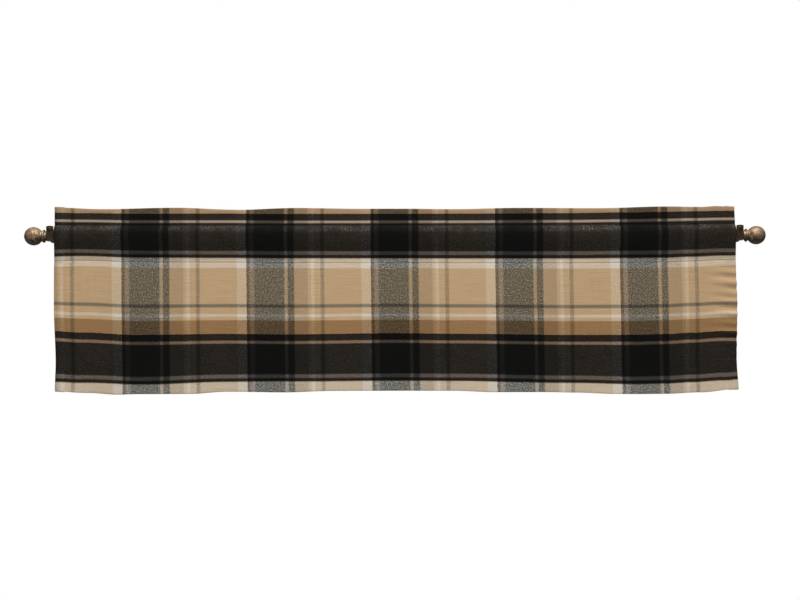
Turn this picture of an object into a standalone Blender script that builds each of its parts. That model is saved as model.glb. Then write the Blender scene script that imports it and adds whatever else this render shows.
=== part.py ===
"""Window valance on a curtain rod: a plaid cloth with a header and a rod pocket, hung on a
round rod with ball finials, carried by two J-shaped wall brackets.

Metres. +X runs along the rod, -Y points into the room and +Z is up. The origin is on the wall,
midway between the brackets, at the height of the rod's axis.
"""

import math

import bmesh
import bpy
from mathutils import Matrix, Vector

MM = 0.001

# Clearance left between two pieces that touch on the real thing.
FIT_GAP = 0.3 * MM

# Rod and the distance that the brackets hold it off the wall.
ROD_RADIUS = 9.5 * MM
ROD_WALL = 1.0 * MM
ROD_HALF_LENGTH = 777.5 * MM
ROD_TO_WALL = 64.0 * MM

# Cloth: one sheet with hems at both sides and at the foot.
CLOTH_WIDTH = 1518.0 * MM
CLOTH_THICKNESS = 1.2 * MM
LAYER_GAP = 0.8 * MM
HEADER_TOP = 61.0 * MM
HEADER_SEAM = 23.5 * MM
POCKET_SEAM = -54.5 * MM
SEAM_HEIGHT = 2.5 * MM
HEM_FOOT = -350.0 * MM
HEM_SEAM = -318.0 * MM
TURNED_EDGE = 6.0 * MM
FOLD_EASE = 0.5 * MM
SIDE_HEM = 21.0 * MM
SIDE_HEM_STEP = 1.5 * MM
PANEL_BELLY = 0.6 * MM
PANEL_ROWS = 9
HEADER_ROWS = 3
STATION_COUNT = 25

# How far each layer of the rod pocket stands off the rod's axis. The front layer is slack: it is
# fullest over the axis, at its crest, and falls nearly straight to the lower seam.
POCKET_STAND_OFF = ROD_RADIUS + 0.5 * MM + CLOTH_THICKNESS / 2
FRONT_CREST = 5.0 * MM
FRONT_SLACK = 1.4 * MM
FRONT_BOW = 1.3
BACK_BOW = 2.2
SHOULDER_POWER = 0.7

# Rise of the foot of the cloth, across its width: (x, rise).
FOOT_RISE = (
    (-0.759, 0.0035),
    (-0.690, -0.0009),
    (-0.623, -0.0050),
    (-0.570, -0.0034),
    (-0.456, -0.0029),
    (-0.385, 0.0012),
    (-0.254, -0.0002),
    (-0.145, 0.0032),
    (0.130, 0.0028),
    (0.215, 0.0000),
    (0.320, -0.0003),
    (0.400, -0.0019),
    (0.490, -0.0047),
    (0.600, -0.0045),
    (0.685, -0.0018),
    (0.759, 0.0045),
)

# Rise of the header's top edge, across the cloth's width: (x, rise).
HEADER_RISE = (
    (-0.759, 0.0035),
    (-0.655, -0.0004),
    (-0.490, 0.0026),
    (-0.350, -0.0024),
    (-0.225, 0.0015),
    (-0.080, -0.0006),
    (0.020, -0.0007),
    (0.130, -0.0017),
    (0.270, 0.0009),
    (0.450, 0.0002),
    (0.610, 0.0038),
    (0.685, 0.0027),
    (0.718, 0.0044),
    (0.759, 0.0022),
)

# Soft folds that hang down from the pocket: (centre x, half width, swing towards the room at the foot).
SOFT_FOLDS = (
    (-0.735, 0.055, 0.0050),
    (-0.640, 0.075, -0.0045),
    (-0.500, 0.110, 0.0055),
    (-0.330, 0.090, -0.0040),
    (-0.170, 0.110, 0.0045),
    (0.030, 0.120, -0.0030),
    (0.220, 0.100, 0.0040),
    (0.390, 0.090, -0.0035),
    (0.540, 0.100, 0.0050),
    (0.665, 0.060, -0.0050),
    (0.745, 0.050, 0.0045),
)

# Sideways drift of the two lower corners.
LEFT_CORNER_DRIFT = 1.0 * MM
RIGHT_CORNER_DRIFT = 6.0 * MM

# Finial, measured outwards from the end of the rod.
COLLAR_RADIUS = 10.4 * MM
COLLAR_LENGTH = 5.3 * MM
BEAD_RADIUS = 14.8 * MM
BEAD_LENGTH = 4.6 * MM
GROOVE_RADIUS = 10.8 * MM
NECK_RADIUS = 12.1 * MM
NECK_LENGTH = 5.6 * MM
BALL_RADIUS = 20.7 * MM
BALL_REACH = 51.2 * MM
SPIGOT_LENGTH = 24.0 * MM

# Cradle: a strap bent to a J round the rod, tall in front of it and short behind.
STRAP_WIDTH = 15.9 * MM
STRAP_THICKNESS = 2.0 * MM
STRAP_EDGE = 0.4 * MM
CRADLE_X = 768.95 * MM
FRONT_TOP = 23.0 * MM
FRONT_ARCH = 1.4 * MM
BACK_TOP = 8.6 * MM
BACK_ARCH = 1.6 * MM
SCREW_HEIGHT = 15.4 * MM
SCREW_REACH = 16.0 * MM
SCREW_HEAD_RADIUS = 4.4 * MM
SCREW_HEAD_HEIGHT = 2.4 * MM
SCREW_SHANK_RADIUS = 1.9 * MM
SCREW_SLOT_WIDTH = 1.0 * MM
SCREW_SLOT_DEPTH = 0.9 * MM
SCREW_SLOT_TURN = math.radians(38)

# Arm and wall plate.
ARM_RADIUS = 7.0 * MM
ARM_DROP = 7.5 * MM
ARM_EDGE = 1.0 * MM
PLATE_WIDTH = 18.0 * MM
PLATE_THICKNESS = 2.5 * MM
PLATE_FOOT = -17.0 * MM
PLATE_TOP = 30.0 * MM
PLATE_EDGE = 0.5 * MM
PLATE_HOLE_RADIUS = 2.2 * MM
PLATE_HOLES = (7.0 * MM, 20.0 * MM)

TURN_SIDES = 28
HOLE_SIDES = 18
BEAD_STEPS = 6
BALL_STEPS = 12
CRADLE_STEPS = 9
STRAP_COLUMNS = 8

COLOURS = {
    "cloth": (0.42, 0.31, 0.20),
    "antique_brass": (0.36, 0.25, 0.15),
    "dark_bronze": (0.055, 0.042, 0.030),
}


def clear_scene():
    for obj in list(bpy.data.objects):
        bpy.data.objects.remove(obj, do_unlink=True)


def make_material(name, colour, roughness, metallic):
    material = bpy.data.materials.new(name)
    material.use_nodes = True
    shader = material.node_tree.nodes["Principled BSDF"]
    shader.inputs["Base Color"].default_value = (*colour, 1.0)
    shader.inputs["Roughness"].default_value = roughness
    shader.inputs["Metallic"].default_value = metallic
    return material


def add_object(name, mesh_builder, material):
    """Writes a bmesh into a new object of the scene."""
    bmesh.ops.recalc_face_normals(mesh_builder, faces=mesh_builder.faces[:])
    mesh = bpy.data.meshes.new(name)
    mesh_builder.to_mesh(mesh)
    mesh_builder.free()
    mesh.materials.append(material)
    mesh.shade_smooth()
    mesh.set_sharp_from_angle(angle=math.radians(35))
    obj = bpy.data.objects.new(name, mesh)
    bpy.context.scene.collection.objects.link(obj)
    return obj


def smooth_step(value):
    value = min(max(value, 0.0), 1.0)
    return value * value * (3.0 - 2.0 * value)


def read_curve(table, x):
    """A smooth reading of a table of (x, value) rows."""
    if x <= table[0][0]:
        return table[0][1]
    for (x0, low), (x1, high) in zip(table, table[1:]):
        if x <= x1:
            return low + (high - low) * smooth_step((x - x0) / (x1 - x0))
    return table[-1][1]


# ---------------------------------------------------------------- cloth


def pocket_layer(z, crest, slack, bow):
    """Distance of one pocket layer from the plane through the rod's axis, at height z."""
    rest = (LAYER_GAP + CLOTH_THICKNESS) / 2
    reach = POCKET_STAND_OFF - rest + slack
    if z >= crest:
        share = (z - crest) / (HEADER_SEAM - crest)
        return rest + reach * (1.0 - share**2) ** SHOULDER_POWER
    share = (z - crest) / (POCKET_SEAM - crest)
    return rest + reach * (1.0 - share**bow)


def pocket_heights():
    """Heights where a pocket layer gets a row of points, from the header seam down."""
    above = [HEADER_SEAM * share for share in (0.92, 0.78, 0.60, 0.40, 0.20)]
    below = [POCKET_SEAM * share for share in (0.0, 0.20, 0.45, 0.70, 0.90)]
    return above + below


def fold_rows(centre_d, centre_z, upwards):
    """Three rows round a fold, from the back layer to the front one, or the other way at the foot."""
    radius = (LAYER_GAP + CLOTH_THICKNESS) / 2
    angles = (150, 90, 30) if upwards else (-30, -90, -150)
    rows = []
    for angle in angles:
        turn = math.radians(angle)
        rows.append((centre_d + radius * math.cos(turn), centre_z + radius * math.sin(turn), 0.0, 0.0))
    return rows


def panel_depth(z):
    """The front panel's distance in front of the rod's axis: a slight belly between pocket and hem."""
    rest = (LAYER_GAP + CLOTH_THICKNESS) / 2
    share = (z - POCKET_SEAM) / (HEM_FOOT - POCKET_SEAM)
    return rest + PANEL_BELLY * math.sin(math.pi * min(max(share, 0.0), 1.0))


def cloth_section():
    """The sheet's path in section and the rows where two layers are stitched together.

    Each row is (forward distance, height, share of a side hem that goes on the wrong side,
    extra thickness on the right side). The path starts at the turned edge behind the pocket,
    goes up the back layer, over the header, down the front, round the foot and up the hem.
    """
    rest = (LAYER_GAP + CLOTH_THICKNESS) / 2
    fold_top = HEADER_TOP - rest - CLOTH_THICKNESS / 2
    seam_top = HEADER_SEAM + SEAM_HEIGHT
    header = [HEADER_SEAM]
    header += [seam_top + (fold_top - seam_top) * row / HEADER_ROWS for row in range(HEADER_ROWS + 1)]
    header[-1] -= FOLD_EASE
    pocket_foot = POCKET_SEAM - SEAM_HEIGHT
    rows = [(-rest, pocket_foot - TURNED_EDGE, 0.0, CLOTH_THICKNESS)]
    stitches = {"pocket_back": len(rows)}
    rows.append((-rest, pocket_foot, 0.0, CLOTH_THICKNESS))
    rows.append((-rest, POCKET_SEAM, 0.0, CLOTH_THICKNESS))
    for z in reversed(pocket_heights()):
        rows.append((-pocket_layer(z, 0.0, 0.0, BACK_BOW), z, 0.0, 0.0))
    stitches["header_back"] = len(rows)
    rows += [(-rest, z, 0.0, 0.0) for z in header]
    rows += fold_rows(0.0, fold_top, upwards=True)
    rows += [(rest, z, 0.0, 0.0) for z in reversed(header)]
    stitches["header_front"] = len(rows) - 2
    for z in pocket_heights():
        rows.append((pocket_layer(z, FRONT_CREST, FRONT_SLACK, FRONT_BOW), z, 0.0, 0.0))
    stitches["pocket_front"] = len(rows)
    rows.append((rest, POCKET_SEAM, 0.0, 0.0))
    rows.append((rest, pocket_foot, 0.0, 0.0))
    hem_head = HEM_SEAM + TURNED_EDGE
    for step in range(PANEL_ROWS):
        z = pocket_foot + (hem_head + 6.0 * MM - pocket_foot) * (step + 1) / PANEL_ROWS
        rows.append((panel_depth(z), z, 1.0, 0.0))
    rows.append((panel_depth(hem_head), hem_head, 0.0, 0.0))
    stitches["hem_front"] = len(rows)
    rows.append((panel_depth(HEM_SEAM), HEM_SEAM, 0.0, 0.0))
    rows.append((panel_depth(HEM_SEAM - SEAM_HEIGHT), HEM_SEAM - SEAM_HEIGHT, 0.0, 0.0))
    fold_foot = HEM_FOOT + rest + CLOTH_THICKNESS / 2
    fold_centre = panel_depth(fold_foot) - rest
    rows.append((panel_depth(fold_foot + 2.0 * MM), fold_foot + 2.0 * MM, 0.0, 0.0))
    rows += fold_rows(fold_centre, fold_foot, upwards=False)
    rows.append((panel_depth(fold_foot + 2.0 * MM) - 2 * rest, fold_foot + 2.0 * MM, 0.0, 0.0))
    stitches["hem_back"] = len(rows)
    for z in (HEM_SEAM - SEAM_HEIGHT, HEM_SEAM, hem_head):
        rows.append((panel_depth(z) - 2 * rest, z, 0.0, CLOTH_THICKNESS if z > HEM_SEAM else 0.0))
    return rows, stitches


def section_faces(section, hem):
    """Points and quads of the cut section. hem is 0 in the open cloth and 1 in a side hem."""
    outer = []
    inner = []
    last = len(section) - 1
    for index, (d, z, wrong_side, extra) in enumerate(section):
        before = section[max(index - 1, 0)]
        after = section[min(index + 1, last)]
        along = Vector((after[0] - before[0], after[1] - before[1])).normalized()
        outwards = Vector((-along.y, along.x))
        hem_layer = hem * CLOTH_THICKNESS
        right = CLOTH_THICKNESS / 2 + extra + hem_layer * (1.0 - wrong_side)
        wrong = CLOTH_THICKNESS / 2 + hem_layer * wrong_side
        outer.append(Vector((d, z)) + outwards * right)
        inner.append(Vector((d, z)) - outwards * wrong)
    return outer, inner


def hang(x, d, z):
    """Moves a point of the flat hanging sheet to where the cloth's folds carry it."""
    length = POCKET_SEAM - HEM_FOOT
    down = min(max((POCKET_SEAM - z) / length, 0.0), 1.0)
    fall = down * (0.35 + 0.65 * down)
    swing = 0.0
    for centre, half_width, depth in SOFT_FOLDS:
        share = abs(x - centre) / half_width
        if share < 1.0:
            swing += depth * (0.5 + 0.5 * math.cos(math.pi * share))
    rise = read_curve(FOOT_RISE, x)
    edge = x / (CLOTH_WIDTH / 2)
    corner = RIGHT_CORNER_DRIFT if edge > 0 else LEFT_CORNER_DRIFT
    drift = corner * abs(edge) ** 3 * down
    height_share = (z - HEM_FOOT) / (HEADER_TOP - HEM_FOOT)
    lift = rise * (1.0 - 0.75 * height_share) * (0.15 + 0.85 * down)
    up_header = smooth_step((z - HEADER_SEAM) / (HEADER_TOP - HEADER_SEAM))
    lift += read_curve(HEADER_RISE, x) * up_header
    return Vector((x + drift, -ROD_TO_WALL - d - swing * fall, z + lift))


def cloth_stations():
    """(x, side hem share) of each cross-section, from the left edge to the right."""
    half = CLOTH_WIDTH / 2
    inner = half - SIDE_HEM
    flat = inner - SIDE_HEM_STEP
    stations = [(-half, 1.0), (-inner, 1.0), (-flat, 0.0)]
    for step in range(1, STATION_COUNT):
        stations.append((-flat + 2.0 * flat * step / STATION_COUNT, 0.0))
    stations += [(flat, 0.0), (inner, 1.0), (half, 1.0)]
    return stations


def build_cloth(material):
    section, stitches = cloth_section()
    rows = len(section)
    seams = (
        (stitches["header_back"], stitches["header_front"]),
        (stitches["pocket_back"], stitches["pocket_front"]),
        (stitches["hem_back"], stitches["hem_front"]),
    )
    builder = bmesh.new()
    grid = []
    for x, hem in cloth_stations():
        outer, inner = section_faces(section, hem)
        station = [builder.verts.new(hang(x, *point)) for point in outer + inner]
        grid.append(station)
    # The section as quads: the sheet itself, then one quad across each stitched seam.
    quads = [(i, i + 1, rows + i + 1, rows + i) for i in range(rows - 1)]
    for back, front in seams:
        quads.append((rows + back, rows + back + 1, rows + front, rows + front + 1))
    edge_uses = {}
    for quad in quads:
        for a, b in zip(quad, quad[1:] + quad[:1]):
            edge_uses.setdefault(frozenset((a, b)), []).append((a, b))
    skin = [uses[0] for uses in edge_uses.values() if len(uses) == 1]
    for left, right in zip(grid, grid[1:]):
        for a, b in skin:
            builder.faces.new((left[a], left[b], right[b], right[a]))
    for quad in quads:
        builder.faces.new([grid[0][i] for i in quad])
        builder.faces.new([grid[-1][i] for i in reversed(quad)])
    bmesh.ops.triangulate(builder, faces=builder.faces[:])
    return add_object("valance_cloth", builder, material)


# ---------------------------------------------------------------- turned pieces


def turn(profile, sides):
    """Spins a closed run of (along, radius) points about the X axis. Points on the axis are single."""
    builder = bmesh.new()
    rings = []
    for along, radius in profile:
        if radius == 0.0:
            rings.append([builder.verts.new((along, 0.0, 0.0))])
            continue
        ring = []
        for side in range(sides):
            angle = 2 * math.pi * side / sides
            ring.append(builder.verts.new((along, radius * math.cos(angle), radius * math.sin(angle))))
        rings.append(ring)
    pairs = list(zip(rings, rings[1:]))
    if len(rings[0]) > 1:
        pairs.append((rings[-1], rings[0]))
    for first, second in pairs:
        for side in range(sides):
            after = (side + 1) % sides
            corners = [first[side % len(first)], first[after % len(first)]]
            corners += [second[after % len(second)], second[side % len(second)]]
            builder.faces.new(list(dict.fromkeys(corners)))
    return builder


def build_rod(material):
    inside = ROD_RADIUS - ROD_WALL
    profile = (
        (-ROD_HALF_LENGTH, ROD_RADIUS),
        (ROD_HALF_LENGTH, ROD_RADIUS),
        (ROD_HALF_LENGTH, inside),
        (-ROD_HALF_LENGTH, inside),
    )
    rod = add_object("rod", turn(profile, TURN_SIDES), material)
    rod.location = (0.0, -ROD_TO_WALL, 0.0)


def arc_points(centre, radius, start, end, count):
    """Points on an arc in the (along, radius) plane, angles in degrees from the outward axis."""
    points = []
    for step in range(count + 1):
        angle = math.radians(start + (end - start) * step / count)
        points.append((centre[0] + radius * math.cos(angle), centre[1] + radius * math.sin(angle)))
    return points


def finial_profile():
    """From the tip of the spigot to the far side of the ball, outwards along +X."""
    spigot = ROD_RADIUS - ROD_WALL - FIT_GAP
    profile = [(-SPIGOT_LENGTH, 0.0), (-SPIGOT_LENGTH, spigot - 0.8 * MM)]
    profile += [(-SPIGOT_LENGTH + 0.8 * MM, spigot), (FIT_GAP, spigot)]
    profile += [(FIT_GAP, COLLAR_RADIUS - 0.5 * MM), (FIT_GAP + 0.5 * MM, COLLAR_RADIUS)]
    profile.append((COLLAR_LENGTH, COLLAR_RADIUS))
    # Ring bead: half a round of its own length.
    bead_half = BEAD_LENGTH / 2
    bead_centre = COLLAR_LENGTH + bead_half
    profile += arc_points((bead_centre, BEAD_RADIUS - bead_half), bead_half, 180, 0, BEAD_STEPS)
    neck_start = COLLAR_LENGTH + BEAD_LENGTH
    profile.append((neck_start, GROOVE_RADIUS))
    # The neck swells between two grooves.
    profile.append((neck_start + 0.6 * MM, GROOVE_RADIUS))
    for share in (0.18, 0.5, 0.82):
        swell = math.sin(math.pi * share)
        along = neck_start + 0.6 * MM + (NECK_LENGTH - 0.6 * MM) * share
        profile.append((along, GROOVE_RADIUS + (NECK_RADIUS - GROOVE_RADIUS) * swell))
    ball_centre = BALL_REACH - BALL_RADIUS
    meet = math.degrees(math.pi - math.asin(NECK_RADIUS / BALL_RADIUS))
    ball = arc_points((ball_centre, 0.0), BALL_RADIUS, meet, 0, BALL_STEPS)
    profile += ball[:-1]
    profile.append((BALL_REACH, 0.0))
    return profile


def build_finial(side_name, side, material):
    builder = turn(finial_profile(), TURN_SIDES)
    finial = add_object("finial_" + side_name, builder, material)
    finial.rotation_euler = (0.0, 0.0, 0.0 if side > 0 else math.pi)
    finial.location = (side * ROD_HALF_LENGTH, -ROD_TO_WALL, 0.0)


# ---------------------------------------------------------------- brackets


def cradle_path():
    """The strap's middle line, as (forward distance, height, share of the end arch)."""
    reach = ROD_RADIUS + FIT_GAP + STRAP_THICKNESS / 2
    path = [(reach, FRONT_TOP, FRONT_ARCH), (reach, SCREW_HEIGHT, 0.0), (reach, 6.0 * MM, 0.0)]
    for step in range(CRADLE_STEPS + 1):
        angle = math.radians(-180 * step / CRADLE_STEPS)
        path.append((reach * math.cos(angle), reach * math.sin(angle), 0.0))
    path.append((-reach, BACK_TOP, BACK_ARCH))
    return path


def build_cradle(side_name, side, material):
    builder = bmesh.new()
    rows = []
    for d, z, arch in cradle_path():
        row = []
        for column in range(STRAP_COLUMNS + 1):
            across = 2.0 * column / STRAP_COLUMNS - 1.0
            place = (across * STRAP_WIDTH / 2, -d, z - arch * across**2)
            row.append(builder.verts.new(place))
        rows.append(row)
    for upper, lower in zip(rows, rows[1:]):
        for column in range(STRAP_COLUMNS):
            corners = (upper[column], upper[column + 1], lower[column + 1], lower[column])
            builder.faces.new(corners)
    cradle = add_object("cradle_" + side_name, builder, material)
    thicken = cradle.modifiers.new("thickness", "SOLIDIFY")
    thicken.thickness = STRAP_THICKNESS
    thicken.offset = 0.0
    thicken.use_even_offset = True
    ease = cradle.modifiers.new("eased edges", "BEVEL")
    ease.width = STRAP_EDGE
    ease.segments = 2
    ease.limit_method = "ANGLE"
    ease.angle_limit = math.radians(50)
    cradle.location = (side * CRADLE_X, -ROD_TO_WALL, 0.0)
    cutter = hole_cutter("cradle_hole_" + side_name, SCREW_SHANK_RADIUS + FIT_GAP)
    cutter.location = (side * CRADLE_X, -ROD_TO_WALL - ROD_RADIUS, SCREW_HEIGHT)
    cut(cradle, cutter)


def hole_cutter(name, radius):
    """A round cutter along Y, kept out of the model."""
    builder = bmesh.new()
    bmesh.ops.create_cone(
        builder,
        cap_ends=True,
        segments=HOLE_SIDES,
        radius1=radius,
        radius2=radius,
        depth=20.0 * MM,
        matrix=Matrix.Rotation(math.radians(90), 4, "X"),
    )
    mesh = bpy.data.meshes.new(name)
    bmesh.ops.recalc_face_normals(builder, faces=builder.faces[:])
    builder.to_mesh(mesh)
    builder.free()
    return hide(name, mesh)


def slot_cutter(name, length, width, depth):
    builder = bmesh.new()
    bmesh.ops.create_cube(builder, size=1.0)
    bmesh.ops.scale(builder, vec=(length, depth, width), verts=builder.verts[:])
    mesh = bpy.data.meshes.new(name)
    builder.to_mesh(mesh)
    builder.free()
    return hide(name, mesh)


def hide(name, mesh):
    cutter = bpy.data.objects.new(name, mesh)
    bpy.context.scene.collection.objects.link(cutter)
    cutter.hide_render = True
    cutter.display_type = "WIRE"
    return cutter


def cut(obj, cutter):
    boolean = obj.modifiers.new(cutter.name, "BOOLEAN")
    boolean.operation = "DIFFERENCE"
    boolean.solver = "EXACT"
    boolean.object = cutter


def build_keeper_screw(side_name, side, material):
    """A dome-head screw through the cradle's tall front, whose shank runs back over the rod."""
    head_face = ROD_RADIUS + FIT_GAP + STRAP_THICKNESS + FIT_GAP
    shank_end = head_face - SCREW_REACH
    profile = [(shank_end, 0.0), (shank_end, SCREW_SHANK_RADIUS - 0.5 * MM)]
    profile += [(shank_end + 0.5 * MM, SCREW_SHANK_RADIUS), (head_face, SCREW_SHANK_RADIUS)]
    profile += [(head_face, SCREW_HEAD_RADIUS), (head_face + 0.6 * MM, SCREW_HEAD_RADIUS)]
    for share in (0.3, 0.6, 0.85):
        turn_angle = share * math.pi / 2
        along = head_face + 0.6 * MM + (SCREW_HEAD_HEIGHT - 0.6 * MM) * math.sin(turn_angle)
        profile.append((along, SCREW_HEAD_RADIUS * math.cos(turn_angle)))
    profile.append((head_face + SCREW_HEAD_HEIGHT, 0.0))
    builder = turn(profile, HOLE_SIDES)
    bmesh.ops.rotate(
        builder, verts=builder.verts[:], cent=(0, 0, 0), matrix=Matrix.Rotation(-math.pi / 2, 3, "Z")
    )
    screw = add_object("keeper_screw_" + side_name, builder, material)
    screw.location = (side * CRADLE_X, -ROD_TO_WALL, SCREW_HEIGHT)
    slot = slot_cutter(
        "screw_slot_" + side_name, 3 * SCREW_HEAD_RADIUS, SCREW_SLOT_WIDTH, 2 * SCREW_SLOT_DEPTH
    )
    front = -ROD_TO_WALL - head_face - SCREW_HEAD_HEIGHT
    slot.location = (side * CRADLE_X, front, SCREW_HEIGHT)
    slot.rotation_euler = (0.0, -side * SCREW_SLOT_TURN, 0.0)
    cut(screw, slot)


def build_arm(side_name, side, material):
    front = -ROD_TO_WALL + ROD_RADIUS + FIT_GAP + STRAP_THICKNESS + FIT_GAP
    back = -PLATE_THICKNESS - FIT_GAP
    profile = [(front, 0.0), (front, ARM_RADIUS - ARM_EDGE), (front + ARM_EDGE, ARM_RADIUS)]
    profile += [(back - ARM_EDGE, ARM_RADIUS), (back, ARM_RADIUS - ARM_EDGE), (back, 0.0)]
    builder = turn(profile, TURN_SIDES)
    bmesh.ops.rotate(
        builder, verts=builder.verts[:], cent=(0, 0, 0), matrix=Matrix.Rotation(math.pi / 2, 3, "Z")
    )
    arm = add_object("arm_" + side_name, builder, material)
    arm.location = (side * CRADLE_X, 0.0, -ARM_DROP)


def build_wall_plate(side_name, side, material):
    """A plate with round ends, its back on the wall."""
    radius = PLATE_WIDTH / 2
    outline = []
    for centre, start in ((PLATE_TOP - radius, 0), (PLATE_FOOT + radius, 180)):
        for step in range(13):
            angle = math.radians(start + 15 * step)
            outline.append((radius * math.cos(angle), centre + radius * math.sin(angle)))
    builder = bmesh.new()
    back = builder.faces.new([builder.verts.new((x, 0.0, z)) for x, z in outline])
    raised = bmesh.ops.extrude_face_region(builder, geom=[back], use_keep_orig=True)
    lifted = [item for item in raised["geom"] if isinstance(item, bmesh.types.BMVert)]
    bmesh.ops.translate(builder, verts=lifted, vec=(0.0, -PLATE_THICKNESS, 0.0))
    plate = add_object("wall_plate_" + side_name, builder, material)
    plate.location = (side * CRADLE_X, 0.0, 0.0)
    ease = plate.modifiers.new("eased edges", "BEVEL")
    ease.width = PLATE_EDGE
    ease.segments = 1
    ease.limit_method = "ANGLE"
    ease.angle_limit = math.radians(50)
    for number, height in enumerate(PLATE_HOLES):
        cutter = hole_cutter(f"plate_hole_{side_name}_{number}", PLATE_HOLE_RADIUS)
        cutter.location = (side * CRADLE_X, 0.0, height)
        cut(plate, cutter)


def main():
    clear_scene()
    cloth = make_material("cloth", COLOURS["cloth"], 0.95, 0.0)
    brass = make_material("antique_brass", COLOURS["antique_brass"], 0.42, 0.9)
    bronze = make_material("dark_bronze", COLOURS["dark_bronze"], 0.5, 0.8)
    build_cloth(cloth)
    build_rod(bronze)
    for side_name, side in (("left", -1), ("right", 1)):
        build_finial(side_name, side, brass)
        build_cradle(side_name, side, bronze)
        build_keeper_screw(side_name, side, bronze)
        build_arm(side_name, side, bronze)
        build_wall_plate(side_name, side, bronze)


main()
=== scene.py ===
"""Looks of a window valance: a brushed plaid cloth with a header and a rod pocket, hung on a
dark bronze rod with antique brass ball finials, in two dark bronze wall brackets.

Metres. +X runs along the rod, -Y points into the room, +Z is up, and the wall is at y = 0.
"""

import logging
import math
from dataclasses import dataclass, field
from enum import Enum

import bpy
import numpy as np
from mathutils import Euler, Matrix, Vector

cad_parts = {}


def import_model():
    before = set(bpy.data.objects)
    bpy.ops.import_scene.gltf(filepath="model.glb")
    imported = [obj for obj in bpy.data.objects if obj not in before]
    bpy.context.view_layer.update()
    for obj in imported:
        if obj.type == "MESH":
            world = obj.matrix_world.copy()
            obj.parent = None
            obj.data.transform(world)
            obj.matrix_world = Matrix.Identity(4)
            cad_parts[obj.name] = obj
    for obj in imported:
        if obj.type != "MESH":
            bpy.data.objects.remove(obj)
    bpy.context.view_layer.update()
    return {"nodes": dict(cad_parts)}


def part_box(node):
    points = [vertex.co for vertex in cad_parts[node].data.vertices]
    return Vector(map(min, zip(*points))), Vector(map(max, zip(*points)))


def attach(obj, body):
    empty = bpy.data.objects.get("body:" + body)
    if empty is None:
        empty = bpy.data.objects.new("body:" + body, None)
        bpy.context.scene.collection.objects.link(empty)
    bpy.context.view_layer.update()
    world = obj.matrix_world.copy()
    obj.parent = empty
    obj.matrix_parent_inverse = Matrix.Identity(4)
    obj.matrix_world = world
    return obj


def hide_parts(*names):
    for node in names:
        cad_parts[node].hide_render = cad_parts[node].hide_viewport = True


MM = 0.001

log = logging.getLogger("valance")

Colour = tuple[float, float, float]


def linear(red: float, green: float, blue: float) -> Colour:
    """Turn a display colour into scene values.

    Args:
        red: red, from 0 to 255.
        green: green, from 0 to 255.
        blue: blue, from 0 to 255.

    Returns:
        The three values in linear light.
    """
    shares = [value / 255 for value in (red, green, blue)]
    return tuple(s / 12.92 if s <= 0.04045 else ((s + 0.055) / 1.055) ** 2.4 for s in shares)


def smooth(value: np.ndarray) -> np.ndarray:
    """Return a soft step: 0 below 0, 1 above 1."""
    value = np.clip(value, 0.0, 1.0)
    return value * value * (3.0 - 2.0 * value)


def between(z: np.ndarray, top: float, top_fade: float, foot: float, foot_fade: float) -> np.ndarray:
    """Fade a level stretch of the cloth in below its top and out above its foot.

    Args:
        z: the heights to read.
        top: where the stretch starts.
        top_fade: height over which it grows to full.
        foot: where it ends.
        foot_fade: height over which it falls to nothing.

    Returns:
        A share from 0 outside the stretch to 1 inside it.
    """
    return smooth((top - z) / top_fade) * smooth((z - foot) / foot_fade)


def read_curve(table: tuple, place: np.ndarray, column: int = 1) -> np.ndarray:
    """Read a table of points smoothly.

    Args:
        table: rows whose first value is the place, in growing order.
        place: where to read.
        column: which value of a row to read.

    Returns:
        The table's value at each place.
    """
    rows = np.array(table, float)
    at, values = rows[:, 0], rows[:, column]
    index = np.clip(np.searchsorted(at, place) - 1, 0, len(at) - 2)
    share = smooth((place - at[index]) / (at[index + 1] - at[index]))
    return values[index] + (values[index + 1] - values[index]) * share


# ---------------------------------------------------------------- node building


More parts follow.
